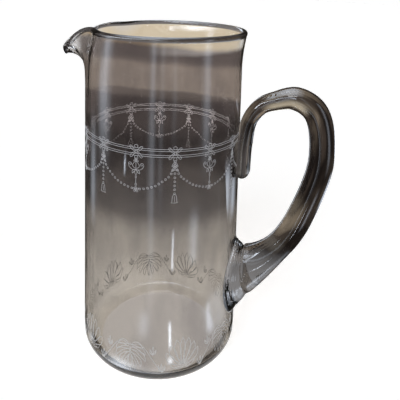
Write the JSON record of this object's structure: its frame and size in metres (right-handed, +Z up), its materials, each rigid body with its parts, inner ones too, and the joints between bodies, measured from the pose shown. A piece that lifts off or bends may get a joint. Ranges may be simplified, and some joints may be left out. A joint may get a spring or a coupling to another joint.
{
  "type": "glass water jug",
  "caption": "Tall tapering glass water jug with a rounded heel, a drawn beak spout and an applied loop handle with a turned-down tail.",
  "frame": {"origin": "centre of the flat base, where the jug stands", "axes": "+Z up along the body's axis, +X towards the handle, -X towards the spout"},
  "size_m": [0.1655, 0.1094, 0.221],
  "materials": {
    "jug_body": "clear blown glass with a smoky warm tint, finely engraved, fire-polished rim",
    "handle": "clear solid glass with a smoky warm tint, fire-polished"
  },
  "bodies": {
    "root": {"jug_body": "jug_body", "handle": "handle"}
  },
  "joints": []
}
